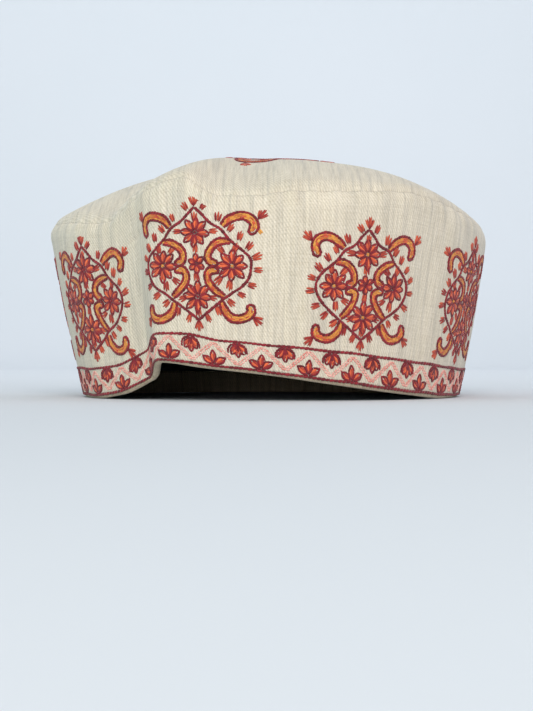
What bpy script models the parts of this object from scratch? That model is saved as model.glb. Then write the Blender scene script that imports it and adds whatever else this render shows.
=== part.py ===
"""Embroidered wool cap: a flared side band, a domed crown, a turned rim hem and a dark lining.

The cap stands on its rim, front towards -Y. Turns are degrees round it from the front, positive
towards +X. Each piece is an open cage thickened by Subdivision and Solidify modifiers.
"""
import math

import bmesh
import bpy
from mathutils import Vector

# Driving dimensions, in metres
RIM_HALF_WIDTH = 0.084
RIM_HALF_LENGTH = 0.100
TOP_HALF_WIDTH = 0.0965
TOP_HALF_LENGTH = 0.110
BAND_HEIGHT = 0.074
CROWN_RISE = 0.030
EDGE_ROUND = 0.007
CLOTH = 0.0013
LINING_CLOTH = 0.0010
HEM_HEIGHT = 0.010
FOLD_DEPTH = 0.008
RIM_LIFT = 0.0155
TOP_LIFT = 0.012

# Clearances, in metres
GAP = 0.0004
SEAM_GAP = 0.0012

# How long the crown stays level before it falls to its edge, as the power of its slope
CROWN_FULLNESS = 3.0

# Cage columns round the cap, packed closer beside the ridge
COLUMNS = 38
RIDGE_TURN = -30.0
COLUMN_CROWDING = 0.58

# Folds of the wall: turn, then the push outwards at rim, middle and top, in shares of FOLD_DEPTH
FOLDS = (
    (-178, 0.00, 0.10, 0.05),
    (-135, 0.10, 0.30, 0.10),
    (-100, 0.00, 0.30, 0.30),
    (-74, 0.05, 0.50, 0.40),
    (-58, 0.20, 0.50, 0.30),
    (-46, -0.10, 0.00, -0.15),
    (-38, -0.20, -0.15, 0.05),
    (-29, 1.00, 0.90, 0.50),
    (-20, 0.75, 0.80, 0.45),
    (-9, 0.35, 0.45, 0.05),
    (8, 0.15, 0.40, 0.10),
    (30, 0.00, 0.25, 0.10),
    (62, 0.05, 0.20, 0.10),
    (100, 0.00, 0.30, 0.20),
    (140, 0.10, 0.05, 0.00),
)

# Rise of the rim edge off the ground: turn, then share of RIM_LIFT
RIM_EDGE = (
    (-179, 0.0),
    (-62, 0.0),
    (-49, 0.13),
    (-38, 0.50),
    (-29, 1.00),
    (-18, 0.86),
    (0, 0.66),
    (19, 0.40),
    (43, 0.13),
    (62, 0.0),
)

# Top edge: turn, then its rise over BAND_HEIGHT in shares of TOP_LIFT, then the crown's fullness
# behind it in shares of CROWN_FULLNESS
TOP_EDGE = (
    (-179, 0.00, 1.00),
    (-90, 0.15, 0.90),
    (-66, 0.25, 0.62),
    (-48, 0.05, 0.52),
    (-38, 0.60, 0.70),
    (-28, 1.15, 1.00),
    (-21.5, 1.40, 1.10),
    (-13, 0.72, 1.10),
    (-4, 0.70, 1.05),
    (5, 0.92, 1.00),
    (31, 0.98, 0.90),
    (58, 0.45, 0.90),
    (80, -0.05, 0.95),
    (110, 0.00, 1.00),
)

# Stations along the outer cloth: 0 rim, 1 start of the rounded top edge, 2 its end, 3 crown centre
BAND_STATIONS = (0.35, 0.7, 1.0)
SEAM_STATION = 1.5
CROWN_STATIONS = (2.0, 2.3, 2.7)
LINING_STATIONS = (0.55, 1.0, 1.5, 2.0, 2.5)
CROWN_CENTRE = 3.0

# Steps for reading the cloth's slope, in degrees and stations
SLOPE_TURN = 0.5
SLOPE_STATION = 0.01

# Colours as linear RGB
WOOL = (0.70, 0.64, 0.52, 1.0)
HEM_WOOL = (0.60, 0.52, 0.40, 1.0)
DARK_CLOTH = (0.020, 0.021, 0.026, 1.0)


def mix(start, end, share):
    return start + (end - start) * share


def shared_slope(before, after):
    """Slope at a row between two stretches, flat where they turn back."""
    if before * after <= 0:
        return 0.0
    return 2 * before * after / (before + after)


def follow(rows, column, turn):
    """One column of a table round the cap, on a smooth curve that never passes its rows."""
    count = len(rows)
    turn = (turn - rows[0][0]) % 360 + rows[0][0]
    here = max(index for index in range(count) if rows[index][0] <= turn)
    knots = []
    for index in range(here - 1, here + 3):
        lap, place = divmod(index, count)
        knots.append((rows[place][0] + 360 * lap, rows[place][column]))
    slopes = [(b[1] - a[1]) / (b[0] - a[0]) for a, b in zip(knots, knots[1:])]
    span = knots[2][0] - knots[1][0]
    share = (turn - knots[1][0]) / span
    leave = shared_slope(slopes[0], slopes[1]) * span
    arrive = shared_slope(slopes[1], slopes[2]) * span
    rise = knots[2][1] - knots[1][1]
    bend = leave + arrive - 2 * rise
    return knots[1][1] + share * (leave + share * (3 * rise - 2 * leave - arrive + share * bend))


def wall(turn, level):
    """A point of the outer cloth: level 0 is the rim, 1 the top edge before it is rounded."""
    angle = math.radians(turn)
    half_width = mix(RIM_HALF_WIDTH, TOP_HALF_WIDTH, level)
    half_length = mix(RIM_HALF_LENGTH, TOP_HALF_LENGTH, level)
    outwards = Vector((math.sin(angle) / half_width, -math.cos(angle) / half_length, 0)).normalized()
    at_rim, at_middle, at_top = (follow(FOLDS, column, turn) for column in (1, 2, 3))
    push = mix(mix(at_rim, at_middle, level), mix(at_middle, at_top, level), level) * FOLD_DEPTH
    rim_height = RIM_LIFT * follow(RIM_EDGE, 1, turn)
    top_height = BAND_HEIGHT + TOP_LIFT * follow(TOP_EDGE, 1, turn)
    ring = Vector((half_width * math.sin(angle), -half_length * math.cos(angle), 0))
    return ring + outwards * push + Vector((0, 0, mix(rim_height, top_height, level)))


def dome(turn, reach):
    """A point of the crown: reach 1 is the top edge before it is rounded, 0 the centre."""
    edge = wall(turn, 1)
    fullness = CROWN_FULLNESS * follow(TOP_EDGE, 2, turn)
    height = mix(BAND_HEIGHT + CROWN_RISE, edge.z, reach ** fullness)
    return Vector((edge.x * reach, edge.y * reach, height))


def shell(turn, station):
    """A point of the outer cloth, from the rim over the rounded top edge to the crown's centre."""
    wall_end = 1 - EDGE_ROUND / BAND_HEIGHT
    dome_start = 1 - EDGE_ROUND / TOP_HALF_WIDTH
    if station <= 1:
        return wall(turn, station * wall_end)
    if station >= 2:
        return dome(turn, dome_start * (CROWN_CENTRE - station))
    share = station - 1
    corner = wall(turn, 1)
    below = mix(wall(turn, wall_end), corner, share)
    above = mix(corner, dome(turn, dome_start), share)
    return mix(below, above, share)


def inside(turn, station, inset):
    """A point a given depth under the outer cloth, measured square to it."""
    along = shell(turn + SLOPE_TURN, station) - shell(turn - SLOPE_TURN, station)
    up = shell(turn, station + SLOPE_STATION) - shell(turn, max(station - SLOPE_STATION, 0))
    return shell(turn, station) - along.cross(up).normalized() * inset


def at_height(turn, height):
    """The station of the wall a given height over the rim edge."""
    rise = shell(turn, 1).z - shell(turn, 0).z
    return height / rise


def turns():
    """Turns of the cage columns, closer together beside the ridge."""
    for column in range(COLUMNS):
        lap = 2 * math.pi * column / COLUMNS
        yield RIDGE_TURN + math.degrees(lap - COLUMN_CROWDING * math.sin(lap))


def material(name, colour, roughness):
    """A plain cloth material."""
    made = bpy.data.materials.new(name)
    made.use_nodes = True
    shader = made.node_tree.nodes["Principled BSDF"]
    shader.inputs["Base Color"].default_value = colour
    shader.inputs["Roughness"].default_value = roughness
    shader.inputs["Metallic"].default_value = 0.0
    made.diffuse_color = colour
    return made


def ring_cage(name, rings, centre=None, sharp_rings=()):
    """An open cage of rings, closed at the centre where one is given."""
    mesh = bpy.data.meshes.new(name)
    cage = bmesh.new()
    crease = cage.edges.layers.float.new("crease_edge")
    rows = [[cage.verts.new(point) for point in ring] for ring in rings]
    for lower, upper in zip(rows, rows[1:]):
        for column in range(COLUMNS):
            after = (column + 1) % COLUMNS
            cage.faces.new((lower[column], lower[after], upper[after], upper[column]))
    if centre is not None:
        hub = cage.verts.new(centre)
        for column in range(COLUMNS):
            cage.faces.new((rows[-1][column], rows[-1][(column + 1) % COLUMNS], hub))
    for index in sharp_rings:
        for column in range(COLUMNS):
            edge = cage.edges.get((rows[index][column], rows[index][(column + 1) % COLUMNS]))
            edge[crease] = 1.0
    cage.to_mesh(mesh)
    cage.free()
    return bpy.data.objects.new(name, mesh)


def sew(collection, holder, piece, thickness, cloth):
    """Gives a cage its smoothness, its thickness and its material."""
    piece.data.shade_smooth()
    piece.data.materials.append(cloth)
    smooth = piece.modifiers.new("soften", "SUBSURF")
    smooth.levels = 1
    smooth.render_levels = 1
    thick = piece.modifiers.new("cloth thickness", "SOLIDIFY")
    thick.thickness = thickness
    thick.offset = -1
    thick.use_even_offset = True
    collection.objects.link(piece)
    piece.parent = holder


def make_side_band():
    """The outer wall, from over the hem to half way round the top edge."""
    lift = CLOTH + GAP + GAP
    rings = [[shell(turn, at_height(turn, lift)) for turn in turns()]]
    rings += [[shell(turn, station) for turn in turns()] for station in BAND_STATIONS]
    rings.append([seam_side(turn, -1) for turn in turns()])
    return ring_cage("side_band", rings)


def seam_side(turn, side):
    """The cloth's edge on one side of the seam: -1 the band, 1 the crown."""
    seam = shell(turn, SEAM_STATION)
    ahead = shell(turn, SEAM_STATION + SLOPE_STATION) - seam
    return seam + ahead.normalized() * side * SEAM_GAP / 2


def make_crown():
    """The domed top panel."""
    rings = [[seam_side(turn, 1) for turn in turns()]]
    rings += [[shell(turn, station) for turn in turns()] for station in CROWN_STATIONS]
    return ring_cage("crown", rings, shell(0, CROWN_CENTRE))


def make_rim_hem():
    """The turned edge: a flat fold under the wall and a narrow facing inside it."""
    inset = CLOTH + GAP + CLOTH
    rings = [[shell(turn, 0) for turn in turns()]]
    corner = [inside(turn, 0, inset) for turn in turns()]
    for point, outer in zip(corner, rings[0]):
        point.z = outer.z
    rings.append(corner)
    rings.append([inside(turn, at_height(turn, HEM_HEIGHT), inset) for turn in turns()])
    piece = ring_cage("rim_hem", rings, sharp_rings=(1,))
    piece.data.flip_normals()
    return piece


def make_lining():
    """The dark cloth inside, from the hem's facing to the crown's centre."""
    inset = CLOTH + GAP
    start = HEM_HEIGHT + GAP + GAP
    rings = [[inside(turn, at_height(turn, start), inset) for turn in turns()]]
    for station in LINING_STATIONS:
        rings.append([inside(turn, station, inset) for turn in turns()])
    centre = shell(0, CROWN_CENTRE) - Vector((0, 0, inset))
    return ring_cage("lining", rings, centre)


def centre_on_origin(holder, pieces):
    """Stands the middle of the finished pieces over the origin."""
    bpy.context.view_layer.update()
    graph = bpy.context.evaluated_depsgraph_get()
    corners = []
    for piece in pieces:
        ready = piece.evaluated_get(graph)
        corners += [ready.matrix_world @ Vector(corner) for corner in ready.bound_box]
    for axis in (0, 1):
        values = [corner[axis] for corner in corners]
        holder.location[axis] = -(min(values) + max(values)) / 2
    holder.location[2] = -min(corner.z for corner in corners)


def main():
    for existing in list(bpy.data.objects):
        bpy.data.objects.remove(existing, do_unlink=True)
    collection = bpy.data.collections.new("kashmiri_cap")
    bpy.context.scene.collection.children.link(collection)
    holder = bpy.data.objects.new("cap_frame", None)
    collection.objects.link(holder)
    pieces = (
        (make_side_band(), CLOTH, material("band_wool", WOOL, 0.9)),
        (make_crown(), CLOTH, material("crown_wool", WOOL, 0.9)),
        (make_rim_hem(), CLOTH, material("hem_wool", HEM_WOOL, 0.9)),
        (make_lining(), LINING_CLOTH, material("dark_lining", DARK_CLOTH, 0.7)),
    )
    for piece, thickness, cloth in pieces:
        sew(collection, holder, piece, thickness, cloth)
    centre_on_origin(holder, [piece for piece, _, _ in pieces])


main()
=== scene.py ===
"""Looks of an embroidered wool cap: twill cloth, a dark lining and hand embroidery, stitch by stitch.

The cloth pieces follow the same sizes and folds as the solids. The embroidery is charted in
millimetres on the flat cloth and laid on the folded surface. Everything else is in metres.
"""

import math
import random

import bpy
import numpy as np
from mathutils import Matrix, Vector


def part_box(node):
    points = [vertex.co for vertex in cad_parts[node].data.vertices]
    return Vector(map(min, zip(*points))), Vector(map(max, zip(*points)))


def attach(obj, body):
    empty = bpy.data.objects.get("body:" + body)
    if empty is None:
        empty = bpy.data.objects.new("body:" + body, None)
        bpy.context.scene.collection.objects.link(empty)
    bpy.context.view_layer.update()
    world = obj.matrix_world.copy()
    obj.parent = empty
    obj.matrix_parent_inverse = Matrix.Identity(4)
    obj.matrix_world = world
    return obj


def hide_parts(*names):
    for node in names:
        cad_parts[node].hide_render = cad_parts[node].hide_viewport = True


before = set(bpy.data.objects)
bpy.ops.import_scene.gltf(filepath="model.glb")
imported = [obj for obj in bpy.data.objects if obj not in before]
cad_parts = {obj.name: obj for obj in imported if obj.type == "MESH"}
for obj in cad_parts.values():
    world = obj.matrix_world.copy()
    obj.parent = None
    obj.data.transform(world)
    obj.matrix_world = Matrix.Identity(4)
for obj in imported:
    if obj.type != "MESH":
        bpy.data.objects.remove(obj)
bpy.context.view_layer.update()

# Sizes of the cap, in metres; the crown's fullness is a plain number
RIM_HALF_WIDTH = 0.084
RIM_HALF_LENGTH = 0.100
TOP_HALF_WIDTH = 0.0965
TOP_HALF_LENGTH = 0.110
BAND_HEIGHT = 0.074
CROWN_RISE = 0.030
EDGE_ROUND = 0.007
CLOTH = 0.0013
LINING_CLOTH = 0.0010
HEM_HEIGHT = 0.010
FOLD_DEPTH = 0.008
RIM_LIFT = 0.0155
TOP_LIFT = 0.012
GAP = 0.0004
CROWN_FULLNESS = 3.0

# Folds of the wall: turn, then the push outwards at rim, middle and top, in shares of FOLD_DEPTH
FOLDS = (
    (-178, 0.00, 0.10, 0.05),
    (-135, 0.10, 0.30, 0.10),
    (-100, 0.00, 0.30, 0.30),
    (-74, 0.05, 0.50, 0.40),
    (-58, 0.20, 0.50, 0.30),
    (-46, -0.10, 0.00, -0.15),
    (-38, -0.20, -0.15, 0.05),
    (-29, 1.00, 0.90, 0.50),
    (-20, 0.75, 0.80, 0.45),
    (-9, 0.35, 0.45, 0.05),
    (8, 0.15, 0.40, 0.10),
    (30, 0.00, 0.25, 0.10),
    (62, 0.05, 0.20, 0.10),
    (100, 0.00, 0.30, 0.20),
    (140, 0.10, 0.05, 0.00),
)

# Rise of the rim edge off the ground: turn, then share of RIM_LIFT
RIM_EDGE = (
    (-179, 0.0),
    (-62, 0.0),
    (-49, 0.13),
    (-38, 0.50),
    (-29, 1.00),
    (-18, 0.86),
    (0, 0.66),
    (19, 0.40),
    (43, 0.13),
    (62, 0.0),
)

# Top edge: turn, then its rise over BAND_HEIGHT in shares of TOP_LIFT, then the crown's fullness
# behind it in shares of CROWN_FULLNESS
TOP_EDGE = (
    (-179, 0.00, 1.00),
    (-90, 0.15, 0.90),
    (-66, 0.25, 0.62),
    (-48, 0.05, 0.52),
    (-38, 0.60, 0.70),
    (-28, 1.15, 1.00),
    (-21.5, 1.40, 1.10),
    (-13, 0.72, 1.10),
    (-4, 0.70, 1.05),
    (5, 0.92, 1.00),
    (31, 0.98, 0.90),
    (58, 0.45, 0.90),
    (80, -0.05, 0.95),
    (110, 0.00, 1.00),
)

# Stations along the outer cloth: 0 rim, 1 start of the rounded top edge, 2 its end, 3 crown centre
SEAM_STATION = 1.5
CROWN_CENTRE = 3.0
WALL_END = 1 - EDGE_ROUND / BAND_HEIGHT
DOME_START = 1 - EDGE_ROUND / TOP_HALF_WIDTH
SLOPE_TURN = 0.4
SLOPE_STATION = 0.01

# The embroidery's chart: lengths in millimetres, turns in degrees, scales and growths as factors
MM = 0.001
CHART_HEIGHT = 80.0
MOTIFS = 9
MOTIF_MIDDLE = 41.3
FRONT_MOTIF_TURN = -18.2
BORDER_REPEATS = 31
BORDER_LOW = 1.65
BORDER_HIGH = 13.4
BORDER_POINTS = 1200
BORDER_WANDER = ((0.16, 9.0), (0.12, 3.7))
CROWN_MOTIF_SCALE = 1.75
CROWN_MOTIF_NARROWING = 0.82
CROWN_MOTIF_PLACE = (-2.5, -16.0)
CROWN_MOTIF_SPIN = 44.0
CROWN_SCROLL_GROWTH = 1.35
CROWN_LEAF_GROWTH = 1.3
CROWN_FLOWER_GROWTH = 1.5
LARGE_FLOWER = 8.5
STITCH_STRAY = 0.10

rng = random.Random(11)


# Surface of the folded cloth

def shared_slope(before, after):
    """Slope at a row between two stretches, flat where they turn back."""
    if before * after <= 0:
        return 0.0
    return 2 * before * after / (before + after)


def follow(rows, column, turn):
    """One column of a table round the cap, on a smooth curve that never passes its rows."""
    count = len(rows)
    turn = (turn - rows[0][0]) % 360 + rows[0][0]
    here = max(index for index in range(count) if rows[index][0] <= turn)
    knots = []
    for index in range(here - 1, here + 3):
        lap, place = divmod(index, count)
        knots.append((rows[place][0] + 360 * lap, rows[place][column]))
    slopes = [(b[1] - a[1]) / (b[0] - a[0]) for a, b in zip(knots, knots[1:])]
    span = knots[2][0] - knots[1][0]
    share = (turn - knots[1][0]) / span
    leave = shared_slope(slopes[0], slopes[1]) * span
    arrive = shared_slope(slopes[1], slopes[2]) * span
    rise = knots[2][1] - knots[1][1]
    bend = leave + arrive - 2 * rise
    return knots[1][1] + share * (leave + share * (3 * rise - 2 * leave - arrive + share * bend))


TABLE_TURNS = np.arange(0, 360.25, 0.25)


def sampled(rows, column):
    """A table's column read at close turns."""
    return np.array([follow(rows, column, turn) for turn in TABLE_TURNS])


PUSHES = [sampled(FOLDS, column) for column in (1, 2, 3)]
RIM_RISE = sampled(RIM_EDGE, 1)
TOP_RISE = sampled(TOP_EDGE, 1)
FULLNESS = sampled(TOP_EDGE, 2)


def read(samples, turn):
    return np.interp(np.mod(turn, 360), TABLE_TURNS, samples)


def mix(start, end, share):
    return start + (end - start) * share


def stack(x, y, z):
    return np.stack(np.broadcast_arrays(x, y, z), axis=-1)


def wall(turn, level):
    """Points of the outer cloth: level 0 is the rim, 1 the top edge before it is rounded."""
    angle = np.radians(turn)
    half_width = mix(RIM_HALF_WIDTH, TOP_HALF_WIDTH, level)
    half_length = mix(RIM_HALF_LENGTH, TOP_HALF_LENGTH, level)
    out_x = np.sin(angle) / half_width
    out_y = -np.cos(angle) / half_length
    size = np.hypot(out_x, out_y)
    at_rim, at_middle, at_top = (read(samples, turn) for samples in PUSHES)
    push = mix(mix(at_rim, at_middle, level), mix(at_middle, at_top, level), level) * FOLD_DEPTH
    rim_height = RIM_LIFT * read(RIM_RISE, turn)
    top_height = BAND_HEIGHT + TOP_LIFT * read(TOP_RISE, turn)
    x = half_width * np.sin(angle) + out_x / size * push
    y = -half_length * np.cos(angle) + out_y / size * push
    return stack(x, y, mix(rim_height, top_height, level))


def dome(turn, reach):
    """Points of the crown: reach 1 is the top edge before it is rounded, 0 the centre."""
    edge = wall(turn, 1.0)
    fullness = CROWN_FULLNESS * read(FULLNESS, turn)
    height = mix(BAND_HEIGHT + CROWN_RISE, edge[..., 2], np.power(reach, fullness))
    return stack(edge[..., 0] * reach, edge[..., 1] * reach, height)


def shell(turn, station):
    """Points of the outer cloth, from the rim over the rounded top edge to the crown's centre."""
    turn, station = np.broadcast_arrays(np.asarray(turn, float), np.asarray(station, float))
    low = wall(turn, np.clip(station, 0, 1) * WALL_END)
    high = dome(turn, DOME_START * np.clip(CROWN_CENTRE - station, 0, 1))
    share = np.clip(station - 1, 0, 1)[..., None]
    corner = wall(turn, 1.0)
    return mix(mix(low, corner, share), mix(corner, high, share), share)


def facing(turn, station):
    """The direction square to the outer cloth."""
    along = shell(turn + SLOPE_TURN, station) - shell(turn - SLOPE_TURN, station)
    above = np.clip(station + SLOPE_STATION, 0, CROWN_CENTRE - 2 * SLOPE_STATION)
    below = np.clip(station - SLOPE_STATION, 0, CROWN_CENTRE - 4 * SLOPE_STATION)
    up = shell(turn, above) - shell(turn, below)
    square = np.cross(along, up)
    return square / np.maximum(np.linalg.norm(square, axis=-1, keepdims=True), 1e-12)


# Small forms of the soft cloth: turn, station, reach in degrees, reach in stations, height in mm
CREASES = (
    (-36.5, 0.86, 3.4, 0.020, -0.7),
    (-37.0, 0.90, 4.0, 0.025, 0.5),
    (-24.5, 1.02, 1.3, 0.16, -0.8),
    (-52.0, 0.55, 3.0, 0.35, -0.8),
    (-44.0, 0.40, 2.4, 0.30, 0.7),
    (-15.0, 1.12, 4.0, 0.12, -0.9),
    (-3.0, 1.10, 5.0, 0.10, -0.5),
    (8.0, 0.75, 6.0, 0.30, 0.7),
    (44.0, 0.60, 5.0, 0.45, -0.9),
    (52.0, 0.95, 5.0, 0.20, 0.6),
    (95.0, 0.50, 6.0, 0.40, -0.8),
    (150.0, 0.70, 7.0, 0.35, -1.1),
    (172.0, 0.60, 5.0, 0.40, 0.8),
    (-150.0, 0.45, 6.0, 0.40, -0.9),
    (-118.0, 0.75, 6.0, 0.30, -0.9),
)
SEAM_DEPTH = 0.30 * MM
SEAM_REACH = 0.11
SEAM_OPENING = 0.004
PUCKER_HEIGHT = 0.30 * MM
PUCKER_COUNT = 64
PUCKER_REACH = 0.42

# How the puckers' spacing wanders: rounds about the cap, start and size
PUCKER_WANDER = ((3, 1.0, 1.7), (7, 0.0, 1.3))

# Broad waves of the cloth: rounds about the cap, lean with the station, start and share of the height
WAVE_HEIGHT = 0.55 * MM
WAVES = ((5, 2.5, 0.0, 1.0), (9, -3.1, 0.8, 0.7))


def relief(turn, station):
    """Dents, puckers and creases of the cloth, outwards, in metres."""
    turn, station = np.broadcast_arrays(np.asarray(turn, float), np.asarray(station, float))
    angle = np.radians(turn)
    height = -SEAM_DEPTH * np.exp(-(((station - SEAM_STATION) / SEAM_REACH) ** 2))
    near_seam = np.exp(-(((station - SEAM_STATION) / PUCKER_REACH) ** 2))
    wander = sum(size * np.sin(rounds * angle + start) for rounds, start, size in PUCKER_WANDER)
    height = height + PUCKER_HEIGHT * near_seam * np.sin(PUCKER_COUNT * angle + wander)
    middle = np.sin(np.clip(station / CROWN_CENTRE, 0, 1) * math.pi)
    waves = sum(
        share * np.sin(rounds * angle + lean * station + start) for rounds, lean, start, share in WAVES
    )
    height = height + WAVE_HEIGHT * middle * waves * np.clip(CROWN_CENTRE - station, 0, 1)
    for at_turn, at_station, wide, tall, lift in CREASES:
        off = np.mod(turn - at_turn + 180, 360) - 180
        height = height + lift * MM * np.exp(-((off / wide) ** 2) - ((station - at_station) / tall) ** 2)
    return height


# Stations at which the band's own reach is measured
MEASURED_STATIONS = (0.0, 0.35, 0.7, 1.0, 1.5)


def frame_shift():
    """How far the solids stand from the tables' own centre."""
    turns = np.arange(0, 360, 1.0)
    own = np.concatenate([shell(turns, station) for station in MEASURED_STATIONS])
    low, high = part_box("side_band")
    shift = [(low[axis] + high[axis] - own[:, axis].min() - own[:, axis].max()) / 2 for axis in (0, 1)]
    return np.array(shift + [0.0])


SHIFT = frame_shift()


def skin(turn, station, over=0.0):
    """Points over the finished cloth, in the frame of the solids."""
    outwards = facing(turn, station)
    return shell(turn, station) + outwards * (relief(turn, station) + over)[..., None] + SHIFT


# Turns counted from the back, and the station along which the chart's lengths are measured
BACK_TURNS = np.arange(-180, 180.25, 0.25)
CHART_STATION = 0.5


def arc_lengths():
    """Chart length round the band, in millimetres, at each turn from the back."""
    points = shell(BACK_TURNS, CHART_STATION)
    steps = np.linalg.norm(np.diff(points, axis=0), axis=1) / MM
    return np.concatenate([[0], np.cumsum(steps)])


ARC_LENGTHS = arc_lengths()
BAND_LENGTH = ARC_LENGTHS[-1]


def turn_at(length):
    return np.interp(np.mod(length, BAND_LENGTH), ARC_LENGTHS, BACK_TURNS)


def length_at(turn):
    return np.interp(turn, BACK_TURNS, ARC_LENGTHS)


def on_band(length, height, over):
    """Lays chart points, in millimetres, on the band."""
    level = height / CHART_HEIGHT
    over_edge = 1 + (level - WALL_END) / (1 - WALL_END) * (SEAM_STATION - 1)
    station = np.where(level < WALL_END, level / WALL_END, over_edge)
    return skin(turn_at(length), station, over * MM)


def on_wall(length, height, over):
    """Lays drawings on the wall at their height over the ground, so that they keep their shape."""
    turn = turn_at(length)
    rim_height = RIM_LIFT * read(RIM_RISE, turn)
    top_height = BAND_HEIGHT + TOP_LIFT * read(TOP_RISE, turn)
    level = (height * MM - rim_height) / (top_height - rim_height)
    return skin(turn, level / WALL_END, over * MM)


def edge_directions():
    """Way and distance of the top edge from the crown's centre, at each turn from the back."""
    edge = wall(BACK_TURNS, 1.0)
    ways = np.unwrap(np.arctan2(edge[:, 0], -edge[:, 1]))
    return ways, np.hypot(edge[:, 0], edge[:, 1])


EDGE_WAYS, EDGE_REACHES = edge_directions()


def on_crown(across, forward, over):
    """Lays plan points of the crown, in millimetres from its centre, on the crown."""
    way = np.arctan2(across, -forward)
    way = np.where(way < EDGE_WAYS[0], way + 2 * math.pi, way)
    way = np.where(way > EDGE_WAYS[-1], way - 2 * math.pi, way)
    turn = np.interp(way, EDGE_WAYS, BACK_TURNS)
    edge = np.interp(turn, BACK_TURNS, EDGE_REACHES)
    reach = np.hypot(across, forward) * MM / edge
    station = CROWN_CENTRE - np.clip(reach / DOME_START, 0, 1)
    return skin(turn, station, over * MM)


# Meshes

def new_piece(name, mesh, slot, *nodes):
    """Adds a piece that rides on the cap and stands for its solids."""
    mesh.validate()
    mesh.shade_smooth()
    piece = bpy.data.objects.new(name, mesh)
    bpy.context.scene.collection.objects.link(piece)
    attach(piece, "root")
    if nodes:
        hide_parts(*nodes)
    return piece


def write_uv(mesh, name, corners):
    layer = mesh.uv_layers.new(name=name)
    layer.data.foreach_set("uv", np.asarray(corners, dtype=np.float32).ravel())


def ring_faces(rows, columns):
    """Four-sided faces between the rings, with the row and column of each."""
    row, column = np.meshgrid(np.arange(rows - 1), np.arange(columns), indexing="ij")
    after = (column + 1) % columns
    low, high = row * columns, (row + 1) * columns
    quads = np.stack([low + column, low + after, high + after, high + column], axis=-1)
    return quads.reshape(-1, 4).tolist(), row, column


def thicken(piece, thickness):
    """Gives a sheet its thickness, inwards."""
    cloth = piece.modifiers.new("cloth thickness", "SOLIDIFY")
    cloth.thickness = thickness
    cloth.offset = -1
    cloth.use_even_offset = True


def wall_sheet(name, points, lengths, heights, slot, node):
    """An open sheet of rings, with its weave measured along the cloth."""
    faces, row, column = ring_faces(*points.shape[:2])
    mesh = bpy.data.meshes.new(name)
    mesh.from_pydata(points.reshape(-1, 3).tolist(), [], faces)
    turned = np.append(lengths, BAND_LENGTH * MM)
    u = np.stack([turned[column], turned[column + 1], turned[column + 1], turned[column]], axis=-1)
    v = np.stack([heights[row], heights[row], heights[row + 1], heights[row + 1]], axis=-1)
    write_uv(mesh, "weave", np.stack([u, v], axis=-1).reshape(-1, 2))
    piece = new_piece(name, mesh, slot, node)
    thicken(piece, CLOTH)
    return piece


def domed_sheet(name, points, slot, node, thickness):
    """A sheet of rings closed at its middle, with its weave measured in plan."""
    rows, columns = points.shape[:2]
    faces = ring_faces(rows, columns)[0]
    vertices = np.concatenate([points.reshape(-1, 3), points[-1].mean(axis=0)[None, :]])
    last = (rows - 1) * columns
    faces += [[last + at, last + (at + 1) % columns, rows * columns] for at in range(columns)]
    mesh = bpy.data.meshes.new(name)
    mesh.from_pydata(vertices.tolist(), [], faces)
    index = np.array([at for face in faces for at in face])
    write_uv(mesh, "weave", vertices[index][:, :2])
    piece = new_piece(name, mesh, slot, node)
    thicken(piece, thickness)
    return piece


# Columns round the cap, and rings of each stretch from edge to edge
BAND_COLUMNS = 560
CROWN_COLUMNS = 320
BAND_RINGS = (58, 14)
CROWN_RINGS = (14, 52)
LINING_RINGS = (24, 12, 22)
CROWN_LAST_RING = 2.97
LINING_LAST_RING = 2.96

# The hem: its top on the chart in millimetres, its roll and its facing; then the wall's height
HEM_TOP = 1.7
HEM_STATION = HEM_TOP / CHART_HEIGHT / WALL_END
HEM_DEPTH = CLOTH + GAP + CLOTH
ROLL_STEPS = 6
FACING_START = 0.8 * HEM_DEPTH
FACING_RINGS = 8
WALL_RISE = BAND_HEIGHT * WALL_END


def even_lengths(columns):
    """Chart lengths an even step apart, from the back."""
    return np.arange(columns) / columns * BAND_LENGTH


def stations_through(ends, counts):
    """Stations of a sheet's rings: even steps from each end to the next."""
    stretches = [np.linspace(low, high, count) for low, high, count in zip(ends, ends[1:], counts)]
    return np.concatenate([stretches[0]] + [stretch[1:] for stretch in stretches[1:]])


def climbed(points):
    """Length of cloth from the first ring up to each of the others."""
    steps = np.linalg.norm(np.diff(points, axis=0), axis=2).mean(axis=1)
    return np.concatenate([[0], np.cumsum(steps)])


def make_band_cloth():
    """The outer wall, from the hem's edge up to the seam."""
    lengths = even_lengths(BAND_COLUMNS)
    stations = stations_through((HEM_STATION, 1, SEAM_STATION - SEAM_OPENING / 2), BAND_RINGS)
    points = skin(*np.meshgrid(turn_at(lengths), stations))
    return wall_sheet("band_cloth", points, lengths * MM, climbed(points), "wool", "side_band")


def make_crown_cloth():
    """The domed top panel, from the seam to its centre."""
    stations = stations_through((SEAM_STATION + SEAM_OPENING / 2, 2, CROWN_LAST_RING), CROWN_RINGS)
    points = skin(*np.meshgrid(turn_at(even_lengths(CROWN_COLUMNS)), stations))
    return domed_sheet("crown_cloth", points, "wool", "crown", CLOTH)


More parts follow.
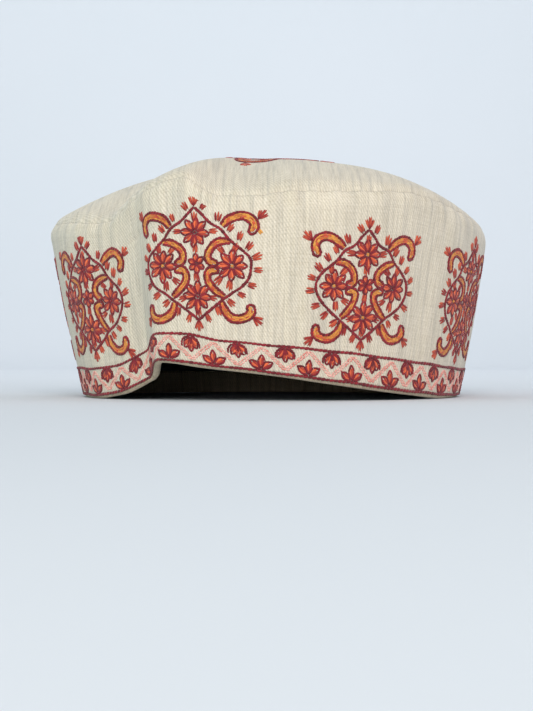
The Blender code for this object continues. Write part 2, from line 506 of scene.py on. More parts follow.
def make_hem_cloth():
    """The turned edge of the rim: it rolls under the wall and stands inside it as a facing."""
    lengths = even_lengths(BAND_COLUMNS)
    turns = turn_at(lengths)
    rim = np.zeros_like(turns)
    base = skin(turns, rim)
    level_out = facing(turns, rim) * (1, 1, 0)
    level_out /= np.linalg.norm(level_out, axis=1, keepdims=True)
    rings = [skin(turns, rim + HEM_STATION)]
    for step in range(ROLL_STEPS + 1):
        angle = math.pi * step / ROLL_STEPS
        ring = base - level_out * (HEM_DEPTH / 2 * (1 - math.cos(angle)))
        ring[:, 2] += HEM_DEPTH / 2 * (1 - math.sin(angle))
        rings.append(ring)
    for height in np.linspace(FACING_START, HEM_HEIGHT, FACING_RINGS):
        rings.append(skin(turns, rim + height / WALL_RISE, -HEM_DEPTH))
    points = np.stack(rings)
    return wall_sheet("hem_cloth", points[::-1], lengths * MM, climbed(points), "hem", "rim_hem")


def make_lining_cloth():
    """The dark cloth inside, from the facing to the crown's centre."""
    stations = stations_through(((HEM_HEIGHT + GAP) / WALL_RISE, 1, 2, LINING_LAST_RING), LINING_RINGS)
    points = skin(*np.meshgrid(turn_at(even_lengths(CROWN_COLUMNS)), stations), -CLOTH - GAP)
    return domed_sheet("lining_cloth", points, "lining", "lining", LINING_CLOTH)


# Stitches. A stitch is (x0, y0, x1, y1, width, height, tone), in millimetres on the chart

THREADS = ("maroon", "red", "gold", "pink")
RING_PLACES = (0.2, 0.52, 0.84)
RING_SIZES = (0.82, 1.0, 0.78)
SECTION = ((-0.5, 0.05), (-0.32, 0.82), (0.30, 0.86), (0.5, 0.05), (0.0, -0.35))


def stitch_mesh(name, stitches, place):
    """One mesh of closed, spindle-shaped stitches laid on the cloth."""
    data = np.array(stitches, dtype=float)
    start, end = data[:, 0:2], data[:, 2:4]
    width, height, tone = data[:, 4], data[:, 5], data[:, 6]
    along = end - start
    size = np.linalg.norm(along, axis=1, keepdims=True)
    along = along / np.maximum(size, 1e-9)
    side = np.stack([-along[:, 1], along[:, 0]], axis=1)
    sides = len(SECTION)
    flats = [start]
    overs = [np.zeros(len(data))]
    places = [np.zeros(len(data))]
    for place_along, ring_size in zip(RING_PLACES, RING_SIZES):
        centre = start + (end - start) * place_along
        for across, up in SECTION:
            flats.append(centre + side * (across * ring_size * width)[:, None])
            overs.append(up * ring_size * height)
            places.append(np.full(len(data), place_along))
    flats.append(end)
    overs.append(np.zeros(len(data)))
    places.append(np.ones(len(data)))
    flat = np.stack(flats, axis=1)
    over = np.stack(overs, axis=1)
    points = place(flat[..., 0], flat[..., 1], over)
    per_stitch = flat.shape[1]
    last = per_stitch - 1
    pattern = []
    for at in range(sides):
        after = (at + 1) % sides
        pattern.append((0, 1 + after, 1 + at))
        for ring in range(len(RING_PLACES) - 1):
            low = 1 + ring * sides
            pattern.append((low + at, low + after, low + sides + after, low + sides + at))
        top = 1 + (len(RING_PLACES) - 1) * sides
        pattern.append((top + at, top + after, last))
    faces = []
    for index in range(len(data)):
        base = index * per_stitch
        faces += [tuple(base + corner for corner in face) for face in pattern]
    mesh = bpy.data.meshes.new(name)
    mesh.from_pydata(points.reshape(-1, 3).tolist(), [], faces)
    corners = np.array([corner for face in pattern for corner in face])
    place_of = np.stack(places, axis=1)[:, corners]
    tone_of = np.repeat(tone[:, None], len(corners), axis=1)
    write_uv(mesh, "thread", np.stack([tone_of, place_of * size], axis=-1).reshape(-1, 2))
    return mesh


CURVE_SHARES = np.linspace(0, 1, 24, endpoint=False)
CURVE_STEP = 0.35


def curve_through(points):
    """A smooth path through a few chart points, as close points an even step apart."""
    points = np.array(points, dtype=float)
    before_first = 2 * points[0] - points[1]
    after_last = 2 * points[-1] - points[-2]
    knots = np.concatenate([[before_first], points, [after_last]])
    path = []
    for index in range(len(points) - 1):
        before, start, end, after = knots[index : index + 4]
        for share in CURVE_SHARES:
            path.append(0.5 * (
                2 * start
                + (end - before) * share
                + (2 * before - 5 * start + 4 * end - after) * share**2
                + (3 * start - before - 3 * end + after) * share**3
            ))
    path.append(points[-1])
    path = np.array(path)
    lengths = np.concatenate([[0], np.cumsum(np.linalg.norm(np.diff(path, axis=0), axis=1))])
    even = np.linspace(0, lengths[-1], max(2, int(lengths[-1] / CURVE_STEP)))
    return np.stack([np.interp(even, lengths, path[:, axis]) for axis in (0, 1)], axis=1)


def beside(path, offset):
    """The path moved sideways, to its left where the offset is positive."""
    ahead = np.gradient(path, axis=0)
    ahead /= np.maximum(np.linalg.norm(ahead, axis=1, keepdims=True), 1e-9)
    offset = np.broadcast_to(offset, len(path))
    return path + np.stack([-ahead[:, 1], ahead[:, 0]], axis=1) * offset[:, None]


def along_path(path, distance):
    """Points of the path at the given distances from its start."""
    lengths = np.concatenate([[0], np.cumsum(np.linalg.norm(np.diff(path, axis=0), axis=1))])
    return np.stack([np.interp(distance, lengths, path[:, axis]) for axis in (0, 1)], axis=-1)


def path_length(path):
    return float(np.linalg.norm(np.diff(path, axis=0), axis=1).sum())


# Kinds of line: thread width, stitch length, step between stitches, lean and thread height
OUTLINE = (1.34, 2.3, 1.35, 0.20, 0.56)
SCROLL_EDGE = (1.26, 2.1, 1.30, 0.26, 0.56)
BUD_EDGE = (1.0, 1.6, 1.10, 0.20, 0.56)
BORDER_EDGE = (1.30, 2.8, 2.0, 0.24, 0.56)
ZIGZAG = (0.84, 1.6, 1.50, 0.16, 0.34)

# A scroll's gold rows: thread width, stitch length, step, distance between rows and from the edge
GOLD_ROWS = (0.70, 2.3, 1.62, 0.55, 0.68)

# Share of red stitches among the gold ones, and of flowers with a gold knot, not a maroon one
FLECKS = 0.2
GOLD_KNOTS = 0.6

# Threads of fixed width: width and height
PETAL_EDGE = (0.98, 0.50)
LEAF_VEIN = (0.42, 0.46)
SPRIG_VEIN = (0.42, 0.50)
FLOWER_KNOT = (0.50, 0.55)
LOOSE_KNOT = (0.85, 0.45)

# Heights of the threads that fill petals, leaves and gold rows
PETAL_HEIGHT = 0.42
LEAF_HEIGHT = 0.40
ROW_HEIGHT = 0.34

# A petal's two strands: place to the side as a share of its width, and the range of tones
PETAL_STRANDS = ((-0.17, 0.0, 0.5), (0.17, 0.65, 1.0))

# Strands of a leaf and a sprig: how far each spreads to the side and reaches ahead, as shares of its size
LEAF_STRANDS = ((-0.23, 0.84), (0.0, 1.0), (0.23, 0.88))
SPRIG_STRANDS = ((-0.44, 0.74), (-0.30, 0.80), (-0.08, 1.0), (0.08, 1.0), (0.30, 0.80), (0.44, 0.74))
SPRIG_VEIN_PLACES = (-0.19, 0.19, 0.0)


def heading(way):
    """Unit steps ahead and to the left for a way in radians."""
    ahead = np.array([math.cos(way), math.sin(way)])
    return ahead, np.array([-ahead[1], ahead[0]])


def empty_threads():
    return {thread: [] for thread in THREADS}


class Chart:
    """Stitches of one drawing, sorted by thread."""

    def __init__(self):
        self.threads = empty_threads()

    def add(self, thread, start, end, width, height, tone=None):
        tone = rng.random() if tone is None else tone
        self.threads[thread].append((start[0], start[1], end[0], end[1], width, height, tone))

    def line(self, thread, path, kind):
        """Stem stitch: short stitches that overlap and lean, like a rope."""
        width, length, step, slant, height = kind
        total = path_length(path)
        count = max(2, round(total / step))
        pace = total / count
        begins = np.arange(count) * pace - (length - pace) / 2
        starts = along_path(path, np.maximum(begins, 0))
        ends = along_path(path, np.minimum(begins + length, total))
        for start, end in zip(starts, ends):
            ahead = (end - start) / max(float(np.hypot(*(end - start))), 1e-9)
            lean = np.array([-ahead[1], ahead[0]]) * slant
            self.add(thread, start - lean, end + lean, width * rng.uniform(0.80, 1.14), height)

    def strands(self, thread, path, offsets, width, length, step):
        """Rows of long stitches side by side."""
        total = path_length(path)
        for offset in offsets:
            row = beside(path, offset)
            begin = -rng.random() * step
            while begin < total - 0.4:
                start = along_path(row, max(begin, 0))
                end = along_path(row, min(begin + length, total))
                if rng.random() < FLECKS:
                    self.add("red", start, end, width, ROW_HEIGHT, rng.uniform(0.3, 0.9))
                else:
                    self.add(thread, start, end, width, ROW_HEIGHT)
                begin += step * (0.85 + 0.3 * rng.random())

    def scroll(self, points, half_width):
        """A gold band with a maroon outline, round at its free end."""
        path = curve_through(points)
        share = np.linspace(0, 1, len(path))
        swell = half_width * np.clip(0.55 + 2.2 * share, 0, 1)
        width, length, step, apart, margin = GOLD_ROWS
        filled = half_width - margin
        rows = np.linspace(-filled, filled, round(2 * filled / apart) + 1)
        self.strands("gold", path, rows, width, length, step)
        left, right = beside(path, swell), beside(path, -swell)
        tip = along_path(path, path_length(path)) + (path[-1] - path[-4]) * 0.55
        outline = np.concatenate([left, tip[None, :], right[::-1]])
        self.line("maroon", outline, SCROLL_EDGE)

    def petal(self, root, way, length, width):
        """A pointed petal: two loose strands inside an outline."""
        ahead, side = heading(way)
        tones = [rng.uniform(dark, light) for _, dark, light in PETAL_STRANDS]
        for (offset, _, _), tone in zip(PETAL_STRANDS, tones):
            start = root + ahead * length * 0.12 + side * offset * width * 0.5
            end = root + ahead * length * rng.uniform(0.84, 0.98) + side * offset * width
            self.add("red", start, end, width * 0.33, PETAL_HEIGHT, tone)
        for turn_side in (-1, 1):
            swell = turn_side * width * rng.uniform(0.41, 0.49)
            bulge = root + ahead * length * rng.uniform(0.58, 0.70) + side * swell
            self.add("maroon", root + ahead * length * 0.02, bulge, *PETAL_EDGE)
            self.add("maroon", bulge - ahead * 0.4, root + ahead * length * 1.03, *PETAL_EDGE)

    def petals(self, centre, inner, outer, count, spin):
        """A round of petals between two radii."""
        for index in range(count):
            way = spin + math.pi / 2 + 2 * math.pi * index / count + rng.uniform(-0.06, 0.06)
            root = centre + heading(way)[0] * inner
            reach = (outer - inner) * rng.uniform(0.88, 1.04)
            self.petal(root, way, reach, mix(inner, outer, 0.68) * 2 * math.pi / count * 0.96)

    def flower(self, x, y, radius, count=8):
        """Petals about a small knot, in two rounds where the flower is large."""
        spin = rng.uniform(-0.12, 0.12)
        centre = np.array([x, y])
        if radius > LARGE_FLOWER:
            self.petals(centre, radius * 0.50, radius, 2 * count, spin)
            radius = radius * 0.56
        self.petals(centre, radius * 0.06, radius, count, spin)
        knot = "gold" if rng.random() < GOLD_KNOTS else "maroon"
        for index in range(4):
            arm = heading(spin + math.pi * index / 4)[0] * radius * 0.13
            self.add(knot, centre - arm, centre + arm, *FLOWER_KNOT)

    def knot(self, x, y, way):
        """A small gold knot of two stitches."""
        ahead, side = heading(math.radians(way))
        for offset in (-0.35, 0.35):
            middle = np.array([x, y]) + side * offset
            self.add("gold", middle - ahead * 1.1, middle + ahead * 1.1, *LOOSE_KNOT)

    def leaf(self, x, y, way, size):
        """Three slanted stitches from one root, with a dark one on each side."""
        ahead, side = heading(math.radians(way + rng.uniform(-12, 12)))
        size = size * rng.uniform(0.86, 1.08)
        root = np.array([x, y]) - ahead * size * 0.5
        for spread, reach in LEAF_STRANDS:
            start = root + side * spread * size * 0.55
            end = root + ahead * size * reach + side * spread * size * rng.uniform(0.8, 1.2)
            self.add("red", start, end, size * 0.21, LEAF_HEIGHT, rng.uniform(0.0, 0.60))
        for flip in (1, -1):
            start = root + side * flip * size * 0.10 - ahead * 0.2
            end = root + ahead * size * rng.uniform(0.45, 0.75) + side * flip * size * 0.24
            self.add("maroon", start, end, *LEAF_VEIN)

    def sprig(self, x, y, way, size):
        """Strands that open like a crow's foot, with dark veins between them."""
        ahead, side = heading(math.radians(way))
        root = np.array([x, y]) - ahead * size * 0.5
        for spread, reach in SPRIG_STRANDS:
            end = root + ahead * size * reach + side * spread * size
            tone = rng.uniform(0.0, 0.60)
            self.add("red", root + side * spread * 0.8, end, size * 0.16, LEAF_HEIGHT, tone)
        for spread in SPRIG_VEIN_PLACES:
            tip = root + ahead * size * 0.5 + side * spread * size
            self.add("maroon", root - ahead * 0.7, tip, *SPRIG_VEIN)


# Medallion of the band and the crown, right half, in millimetres from its middle

MEDALLION_OUTLINE = (
    (0, 22.4), (3.2, 19.4), (6.4, 16.2), (10.6, 14.0), (13.2, 10.4), (15.9, 7.9), (20.0, 4.8), (22.2, 1.8),
    (22.7, -1.6), (21.4, -5.4), (18.6, -8.8), (15.2, -11.3), (11.5, -13.6), (5.6, -17.8), (0, -22.0),
)
SCROLLS = (
    ((11.0, 14.6), (14.2, 17.7), (19.0, 19.2), (22.9, 17.5), (23.9, 14.3), (22.4, 11.8)),
    ((10.2, -15.0), (11.6, -19.0), (15.2, -21.5), (19.5, -21.5), (22.2, -19.2), (21.6, -16.2)),
    ((14.4, 8.9), (10.1, 8.5), (6.4, 6.0), (5.3, 2.8), (6.6, 0.6), (8.9, 0.4)),
    ((11.2, -13.2), (7.2, -9.9), (4.7, -5.9), (4.9, -3.0), (7.0, -2.0), (9.2, -2.8)),
)
SIDE_LEAVES = (
    (7.9, 12.9, 10), (10.6, 5.6, 140), (16.4, 6.3, 80), (9.2, -6.6, 215), (13.7, -8.6, -85),
    (6.8, -13.4, -10), (9.8, 18.6, 70), (14.8, 14.2, 62), (18.3, 11.0, 66), (22.0, 7.0, 55),
    (24.9, 2.8, 25), (25.4, -2.6, 0), (22.8, -8.6, -20), (18.6, -12.4, -35), (14.2, -15.4, -48),
    (9.0, -18.6, -70), (4.4, -21.4, -70), (4.0, 22.9, 60),
)
MIDDLE_LEAVES = ((0, 18.8, 90), (0, 5.9, -90), (0, -5.2, -90), (0, -18.9, -90))
MIDDLE_SPRIGS = ((0, 25.4, 90), (0, -24.4, -90))
SIDE_SPRIGS = ((27.0, 19.4, 50), (25.0, -22.6, -38))
FLOWERS = ((0, 12.5), (14.9, -0.9), (-14.9, -0.5), (0, -12.9))

# Sizes of its parts: flowers' radius, the scrolls' half widths, and the length of leaves and sprigs
FLOWER = 6.6
SMALL_FLOWER = 4.2
SCROLL_HALF_WIDTHS = (1.45, 1.45, 1.22, 1.22)
LEAF = 4.6
SPRIG = 4.9

# Two odd gold knots beside the front medallion
FRONT_KNOTS = ((26.1, 12.6, -50), (-12.3, -20.7, 20))


def strays(count, reach):
    """Small shifts that make a drawing look done by hand."""
    return np.array([(rng.uniform(-reach, reach), rng.uniform(-reach, reach)) for _ in range(count)])


def medallion(wide, tall):
    """The round motif: a pointed outline, four flowers, and gold scrolls inside and outside it."""
    chart = Chart()
    for flip in (1, -1):
        outline = np.array(MEDALLION_OUTLINE) * (flip * wide, tall)
        outline[1:-1] += strays(len(outline) - 2, 0.3)
        chart.line("maroon", curve_through(outline), OUTLINE)
        for points, half_width in zip(SCROLLS, SCROLL_HALF_WIDTHS):
            drawn = np.array(points) * (flip * wide, tall)
            chart.scroll(drawn + strays(len(points), 0.35), half_width)
        for x, y, way in SIDE_LEAVES:
            chart.leaf(x * flip * wide, y * tall, way if flip == 1 else 180 - way, LEAF)
        for x, y, way in SIDE_SPRIGS:
            chart.sprig(x * flip * wide, y * tall, way if flip == 1 else 180 - way, SPRIG)
    for x, y, way in MIDDLE_LEAVES:
        chart.leaf(x * wide, y * tall, way, LEAF)
    for x, y, way in MIDDLE_SPRIGS:
        chart.sprig(x * wide, y * tall, way, SPRIG)
    for x, y in FLOWERS:
        chart.flower(x * wide, y * tall, FLOWER * rng.uniform(0.94, 1.06))
    chart.flower(0, 0.2, SMALL_FLOWER, 6)
    return chart


def gather(gathered, chart, x, y, spin):
    """Adds a drawing, turned and moved to its place, to the threads gathered so far."""
    for thread in THREADS:
        gathered[thread] += laid(chart.threads[thread], x, y, spin, STITCH_STRAY)


def crown_medallion(size):
    """A larger round motif for the crown: one quarter of the medallion, four times in a whirl."""
    gathered = empty_threads()
    corner = np.array(MEDALLION_OUTLINE[:4])
    outline = np.concatenate([corner, corner[::-1, ::-1]])
    for quarter in range(4):
        chart = Chart()
        chart.line("maroon", curve_through(outline * size), OUTLINE)
        for index in (0, 2):
            chart.scroll(np.array(SCROLLS[index]) * size, SCROLL_HALF_WIDTHS[index] * CROWN_SCROLL_GROWTH)
        for x, y, way in SIDE_LEAVES:
            if x > 0 and y > 0:
                chart.leaf(x * size, y * size, way, LEAF * CROWN_LEAF_GROWTH)
        for x, y, way in (MIDDLE_SPRIGS[0], SIDE_SPRIGS[0]):
            chart.sprig(x * size, y * size, way, SPRIG * CROWN_LEAF_GROWTH)
        chart.flower(0, FLOWERS[0][1] * size, FLOWER * CROWN_FLOWER_GROWTH)
        gather(gathered, chart, 0, 0, math.radians(CROWN_MOTIF_SPIN + 90 * quarter))
    chart = Chart()
    chart.flower(0, 0, SMALL_FLOWER * CROWN_FLOWER_GROWTH)
    for thread in THREADS:
        gathered[thread] += chart.threads[thread]
    return gathered


# Buds of the border: each petal's way in degrees, length and width in millimetres,
# then the line that holds the petals together
HANGING_PETALS = ((-58, 5.6, 4.0), (-122, 5.6, 4.0), (-90, 6.3, 3.2))
HANGING_EDGE = ((0, 0.2), (2.4, -0.5), (3.9, -2.2), (3.9, -4.5))
STANDING_PETALS = ((33, 5.8, 3.9), (147, 5.8, 3.9), (90, 6.4, 3.6))
STANDING_EDGE = ((0, -0.2), (2.6, 0.3), (4.3, 1.6), (5.0, 3.6))
ZIGZAG_SHIFT = 0.72


def border_repeat(width):
    """One repeat of the rim border: a pink zigzag with a hanging and a standing bud."""
    chart = Chart()
    low, high = BORDER_LOW + 1.4, BORDER_HIGH - 1.2
    for shift in (-ZIGZAG_SHIFT, ZIGZAG_SHIFT):
        foot, peak, next_foot = (shift, low), (width / 2 + shift, high), (width + shift, low)
        for ends in ((foot, peak), (peak, next_foot)):
            chart.line("pink", np.array(ends), ZIGZAG)
    bud(chart, rng.uniform(-0.3, 0.3), BORDER_HIGH - 0.7, HANGING_PETALS, HANGING_EDGE)
    bud(chart, width / 2 + rng.uniform(-0.3, 0.3), BORDER_LOW + 0.9, STANDING_PETALS, STANDING_EDGE)
    return chart


def bud(chart, x, y, petals, edge):
    """Three petals from one root, with a line that holds them together."""
    for way, length, width in petals:
        chart.petal(np.array([x, y]), math.radians(way + rng.uniform(-5, 5)), length, width)
    for flip in (1, -1):
        chart.line("maroon", curve_through(np.array(edge) * (flip, 1) + (x, y)), BUD_EDGE)


def laid(stitches, x, y, spin, jitter):
    """A drawing's stitches turned and moved to their place, each a little astray."""
    cosine, sine = math.cos(spin), math.sin(spin)
    out = []
    for x0, y0, x1, y1, width, height, tone in stitches:
        ends = []
        for px, py in ((x0, y0), (x1, y1)):
            px, py = px + rng.uniform(-jitter, jitter), py + rng.uniform(-jitter, jitter)
            ends += [x + px * cosine - py * sine, y + px * sine + py * cosine]
        out.append(tuple(ends) + (width, height, tone))
    return out


def add_thread_pieces(drawing, gathered, place):
    """One piece for each thread that a drawing uses."""
    for thread, stitches in gathered.items():
        if stitches:
            name = drawing + "_" + thread + "_thread"
            piece = new_piece(name, stitch_mesh(name, stitches, place), "wool")
            piece.data.materials.append(THREAD_MATERIALS[thread])


def embroider_band():
    """Nine medallions round the band."""
    pitch = BAND_LENGTH / MOTIFS
    first = length_at(FRONT_MOTIF_TURN)
    gathered = empty_threads()
    for index in range(MOTIFS):
        chart = medallion(1.0 if index == 0 else rng.uniform(0.93, 0.97), rng.uniform(0.99, 1.03))
        if index == 0:
            for knot in FRONT_KNOTS:
                chart.knot(*knot)
        spin = math.radians(rng.uniform(-3.0, 0.5))
        x = first + index * pitch
        rim = RIM_LIFT * float(read(RIM_RISE, turn_at(x))) / MM
        y = MOTIF_MIDDLE + rim + rng.uniform(-0.4, 0.4)
        gather(gathered, chart, x, y, spin)
    add_thread_pieces("band", gathered, on_wall)


def embroider_border():
    """The rim's border: zigzag, buds and a line above and below them."""
    width = BAND_LENGTH / BORDER_REPEATS
    gathered = empty_threads()
    for index in range(BORDER_REPEATS):
        gather(gathered, border_repeat(width), index * width, 0, 0)
    for height in (BORDER_LOW, BORDER_HIGH):
        chart = Chart()
        across = np.linspace(0, BAND_LENGTH, BORDER_POINTS)
        wander = sum(size * np.sin(across / length) for size, length in BORDER_WANDER)
        chart.line("maroon", np.stack([across, height + wander], axis=1), BORDER_EDGE)
        gathered["maroon"] += chart.threads["maroon"]
    add_thread_pieces("border", gathered, on_band)


def narrowed(stitch):
    """A stitch of the crown's motif, with the motif made narrower from side to side."""
    x0, y0, x1, y1, *rest = stitch
    return (x0 * CROWN_MOTIF_NARROWING, y0, x1 * CROWN_MOTIF_NARROWING, y1, *rest)


def embroider_crown():
    """One larger medallion in the middle of the crown."""
    gathered = {}
    for thread, drawn in crown_medallion(CROWN_MOTIF_SCALE).items():
        gathered[thread] = laid([narrowed(stitch) for stitch in drawn], *CROWN_MOTIF_PLACE, 0, 0)
    add_thread_pieces("crown", gathered, on_crown)


# Materials

def linear(red, green, blue):
    """A colour given as seen on screen, 0 to 255, as linear values."""
    values = []
    for channel in (red, green, blue):
        share = channel / 255
        values.append(share / 12.92 if share <= 0.04045 else ((share + 0.055) / 1.055) ** 2.4)
    return (*values, 1.0)


class Nodes:
    """Short calls to build a material's nodes."""

    def __init__(self, name):
        self.material = bpy.data.materials.new(name)
        self.material.use_nodes = True
        self.tree = self.material.node_tree
        self.shader = self.tree.nodes["Principled BSDF"]

    def add(self, kind, **settings):
        node = self.tree.nodes.new(kind)
        for key, value in settings.items():
            setattr(node, key, value)
        return node

    def link(self, source, target):
        if isinstance(source, (int, float)):
            target.default_value = source
        else:
            self.tree.links.new(source, target)

    def math(self, operation, first, second=0.0):
        node = self.add("ShaderNodeMath", operation=operation)
        self.link(first, node.inputs[0])
        self.link(second, node.inputs[1])
        return node.outputs[0]

    def uv(self, layer):
        place = self.add("ShaderNodeUVMap", uv_map=layer)
        split = self.add("ShaderNodeSeparateXYZ")
        self.link(place.outputs[0], split.inputs[0])
        return split.outputs[0], split.outputs[1]

    def noise(self, across, along, detail):
        both = self.add("ShaderNodeCombineXYZ")
        self.link(across, both.inputs[0])
        self.link(along, both.inputs[1])
        noise = self.add("ShaderNodeTexNoise")
        noise.inputs["Scale"].default_value = 1.0
        noise.inputs["Detail"].default_value = detail
        noise.inputs["Roughness"].default_value = 0.5
        self.link(both.outputs[0], noise.inputs["Vector"])
        return noise.outputs[0]

    def ramp(self, factor, stops):
        node = self.add("ShaderNodeValToRGB")
        elements = node.color_ramp.elements
        while len(elements) < len(stops):
            elements.new(0.5)
        for element, (position, colour) in zip(elements, stops):
            element.position = position
            element.color = colour
        self.link(factor, node.inputs[0])
        return node.outputs[0]

    def multiply(self, first, second):
        node = self.add("ShaderNodeMix", data_type="RGBA", blend_type="MULTIPLY")
        node.inputs[0].default_value = 1.0
        self.link(first, node.inputs[6])
        self.link(second, node.inputs[7])
        return node.outputs[2]

    def bump(self, height, distance):
        node = self.add("ShaderNodeBump")
        node.inputs["Strength"].default_value = 1.0
        node.inputs["Distance"].default_value = distance
        self.link(height, node.inputs["Height"])
        self.link(node.outputs[0], self.shader.inputs["Normal"])


# Cloth patterns: pitches and reliefs in metres, widths and lengths as patches in a metre
TWILL_PITCH = 0.0021
TWILL_SLOPE = 1.7
TWILL_WANDER = 3.0
TWILL_RELIEF = 0.00008
SLUB_WIDTH = 560.0
SLUB_LENGTH = 20.0
YARN_WIDTH = 1900.0
YARN_LENGTH = 90.0
GRAIN = 1500.0
PATCH_WIDTH = 60.0
PATCH_LENGTH = 14.0
WOOL_COLOURS = ((240, 229, 211), (220, 211, 196), (247, 236, 216))
# The hem's colours are the oatmeal wool darkened: painted shade for the turned cloth under the rim
HEM_PAINTED_SHADE_COLOURS = ((206, 190, 165), (186, 170, 146), (214, 198, 172))
LINING_PITCH = 0.0006
LINING_PATCH = 90.0
LINING_RELIEF = 0.00006

# Twist of the thread: pitch in millimetres, relief in metres
TWIST_PITCH = 0.55
TWIST_RELIEF = 0.00004


def wool_material(name, colours):
    """Wool twill with uneven warp threads that show as soft upright streaks."""
    light, dark, warm = (linear(*colour) for colour in colours)
    made = Nodes(name)
    across, along = made.uv("weave")

    def cloud(wide, tall, detail=2.0):
        return made.noise(made.math("MULTIPLY", across, wide), made.math("MULTIPLY", along, tall), detail)

    slub = cloud(SLUB_WIDTH, SLUB_LENGTH, 3.0)
    yarn = cloud(YARN_WIDTH, YARN_LENGTH)
    weft = cloud(YARN_LENGTH, YARN_WIDTH)
    slope = made.math("ADD", made.math("MULTIPLY", across, TWILL_SLOPE), along)
    wander = made.math("MULTIPLY", made.math("ADD", slub, yarn), TWILL_WANDER)
    phase = made.math("ADD", made.math("MULTIPLY", slope, 2 * math.pi / TWILL_PITCH), wander)
    wale_and_groove_shade = made.math("ADD", made.math("MULTIPLY", made.math("SINE", phase), 0.5), 0.5)
    colour = made.ramp(slub, ((0.32, dark), (0.50, light), (0.68, warm)))
    # Each layer's pattern, its low and high value, and the shade where it is low
    shades = (
        (yarn, 0.30, 0.62, (0.84, 0.83, 0.80, 1)),
        (weft, 0.30, 0.62, (0.91, 0.90, 0.88, 1)),
        (cloud(GRAIN, GRAIN, 1.0), 0.30, 0.62, (0.90, 0.89, 0.87, 1)),
        (cloud(PATCH_WIDTH, PATCH_LENGTH), 0.30, 0.70, (0.93, 0.93, 0.92, 1)),
        # Darker in the twill's grooves: partly the weave's own pattern, partly painted shade of its relief
        (wale_and_groove_shade, 0.0, 1.0, (0.83, 0.83, 0.81, 1)),
    )
    for factor, low, high, shade in shades:
        colour = made.multiply(colour, made.ramp(factor, ((low, shade), (high, (1, 1, 1, 1)))))
    made.link(colour, made.shader.inputs["Base Color"])
    fuzz = made.math("ADD", made.math("MULTIPLY", yarn, 1.6), made.math("MULTIPLY", weft, 1.2))
    made.bump(made.math("ADD", wale_and_groove_shade, fuzz), TWILL_RELIEF)
    made.shader.inputs["Roughness"].default_value = 0.92
    made.shader.inputs["Sheen Weight"].default_value = 0.25
    made.shader.inputs["Sheen Roughness"].default_value = 0.5
    made.shader.inputs["Specular IOR Level"].default_value = 0.2
    return made.material


def lining_material():
    """Plain-woven dark cloth with a slight gloss."""
    made = Nodes("dark_lining")
    across, along = made.uv("weave")
    warp = made.math("SINE", made.math("MULTIPLY", across, 2 * math.pi / LINING_PITCH))
    weft = made.math("SINE", made.math("MULTIPLY", along, 2 * math.pi / LINING_PITCH))
    wide = made.math("MULTIPLY", across, LINING_PATCH)
    tall = made.math("MULTIPLY", along, LINING_PATCH)
    colour = made.ramp(made.noise(wide, tall, 3.0), ((0.3, linear(50, 52, 60)), (0.7, linear(80, 82, 92))))
    made.link(colour, made.shader.inputs["Base Color"])
    made.bump(made.math("MULTIPLY", warp, weft), LINING_RELIEF)
    made.shader.inputs["Roughness"].default_value = 0.6
    made.shader.inputs["Sheen Weight"].default_value = 0.15
    return made.material


def thread_material(name, dark, light):
    """Twisted embroidery thread whose tone changes from stitch to stitch."""
    made = Nodes(name)
    tone, along = made.uv("thread")
    colour = made.ramp(tone, ((0.0, dark), (1.0, light)))
    made.link(colour, made.shader.inputs["Base Color"])
    twist = made.math("SINE", made.math("MULTIPLY", along, 2 * math.pi / TWIST_PITCH))
    made.bump(twist, TWIST_RELIEF)
    made.shader.inputs["Roughness"].default_value = 0.62
    made.shader.inputs["Sheen Weight"].default_value = 0.2
    made.shader.inputs["Specular IOR Level"].default_value = 0.35
    return made.material


THREAD_MATERIALS = {
    "maroon": thread_material("maroon_thread", linear(100, 12, 24), linear(150, 30, 42)),
    "red": thread_material("red_thread", linear(152, 34, 36), linear(244, 114, 66)),
    "gold": thread_material("gold_thread", linear(194, 102, 46), linear(238, 168, 74)),
    "pink": thread_material("pink_thread", linear(228, 140, 128), linear(250, 196, 182)),
}


# Stage

CAMERA_PLACE = (-0.0016, -0.8492, 0.0184)
LENS = 94.7
BACKDROP_START = 1.7
BACKDROP_ROUND = 0.7
BACKDROP_STEPS = 16
BACKDROP_REACH = 5.0
BACKDROP_TOP = 3.0
CAP_MIDDLE = (0.0, 0.0, 0.05)
RIM_MIDDLE = (0.0, 0.0, 0.01)
WALL_MIDDLE = (0.0, 2.4, 1.0)
ROOM_COLOUR = (226, 231, 238)
ROOM_STRENGTH = 0.62

# Soft square lights: name, place, size, power, colour and target; the low one reaches under the rim
LIGHTS = (
    ("key", (0.10, -2.5, 1.15), 1.1, 45.5, (1.0, 0.96, 0.93), CAP_MIDDLE),
    ("low", (-0.35, -2.2, 0.10), 0.5, 3.4, (1.0, 0.98, 0.95), RIM_MIDDLE),
    ("fill", (-2.0, -1.0, 0.8), 1.8, 4.2, (0.15, 1.0, 0.75), CAP_MIDDLE),
    ("wall", (0.0, 0.7, 2.0), 1.6, 19, (0.97, 0.98, 1.0), WALL_MIDDLE),
)


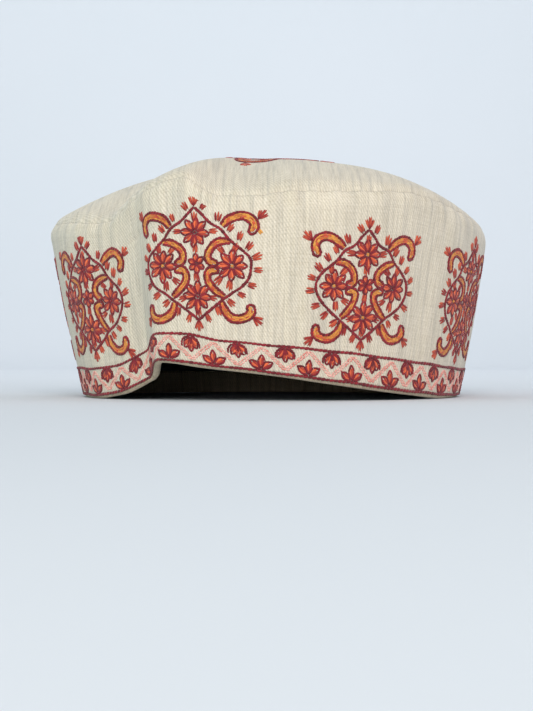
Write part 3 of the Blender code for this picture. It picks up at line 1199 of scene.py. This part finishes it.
def make_backdrop():
    """A pale floor that curves up into a wall well behind the cap."""
    profile = [(-BACKDROP_REACH, 0.0), (BACKDROP_START, 0.0)]
    for step in range(1, BACKDROP_STEPS + 1):
        angle = math.pi / 2 * step / BACKDROP_STEPS
        y = BACKDROP_START + BACKDROP_ROUND * math.sin(angle)
        profile.append((y, BACKDROP_ROUND * (1 - math.cos(angle))))
    profile.append((BACKDROP_START + BACKDROP_ROUND, BACKDROP_TOP))
    vertices = [(side, y, z) for y, z in profile for side in (-BACKDROP_REACH, BACKDROP_REACH)]
    faces = [(at, at + 1, at + 3, at + 2) for at in range(0, len(vertices) - 2, 2)]
    mesh = bpy.data.meshes.new("backdrop")
    mesh.from_pydata(vertices, [], faces)
    mesh.shade_smooth()
    backdrop = bpy.data.objects.new("backdrop", mesh)
    bpy.context.scene.collection.objects.link(backdrop)
    made = Nodes("pale_paper")
    place = made.add("ShaderNodeTexCoord")
    noise = made.add("ShaderNodeTexNoise")
    noise.inputs["Scale"].default_value = 2.0
    made.link(place.outputs["Object"], noise.inputs["Vector"])
    colour = made.ramp(noise.outputs[0], ((0.3, linear(222, 227, 232)), (0.7, linear(225, 229, 234))))
    made.link(colour, made.shader.inputs["Base Color"])
    made.shader.inputs["Roughness"].default_value = 0.9
    made.shader.inputs["Specular IOR Level"].default_value = 0.1
    mesh.materials.append(made.material)


def add_light(name, place, size, power, colour, target):
    """A soft square light that faces its target."""
    light = bpy.data.lights.new(name, "AREA")
    light.size = size
    light.energy = power
    light.color = colour
    lamp = bpy.data.objects.new(name, light)
    lamp.location = place
    toward = Vector(target) - lamp.location
    lamp.rotation_euler = toward.to_track_quat("-Z", "Y").to_euler()
    bpy.context.scene.collection.objects.link(lamp)


def make_light():
    """The soft lights and a pale room."""
    for light in LIGHTS:
        add_light(*light)
    world = bpy.data.worlds.new("pale_room")
    world.use_nodes = True
    background = world.node_tree.nodes["Background"]
    background.inputs[0].default_value = linear(*ROOM_COLOUR)
    background.inputs[1].default_value = ROOM_STRENGTH
    bpy.context.scene.world = world


def make_camera():
    data = bpy.data.cameras.new("camera")
    data.lens = LENS
    data.clip_start = 0.01
    data.clip_end = 20
    camera = bpy.data.objects.new("camera", data)
    camera.location = CAMERA_PLACE
    camera.rotation_euler = (math.pi / 2, 0, 0)
    bpy.context.scene.collection.objects.link(camera)
    bpy.context.scene.camera = camera
    bpy.context.scene.view_settings.view_transform = "Standard"


def main():
    wool = wool_material("oatmeal_wool", WOOL_COLOURS)
    make_band_cloth().data.materials.append(wool)
    make_crown_cloth().data.materials.append(wool)
    # The hem's wool is painted darker, as shade under the rim
    make_hem_cloth().data.materials.append(wool_material("hem_wool", HEM_PAINTED_SHADE_COLOURS))
    make_lining_cloth().data.materials.append(lining_material())
    embroider_band()
    embroider_border()
    embroider_crown()
    make_backdrop()
    make_light()
    make_camera()


main()
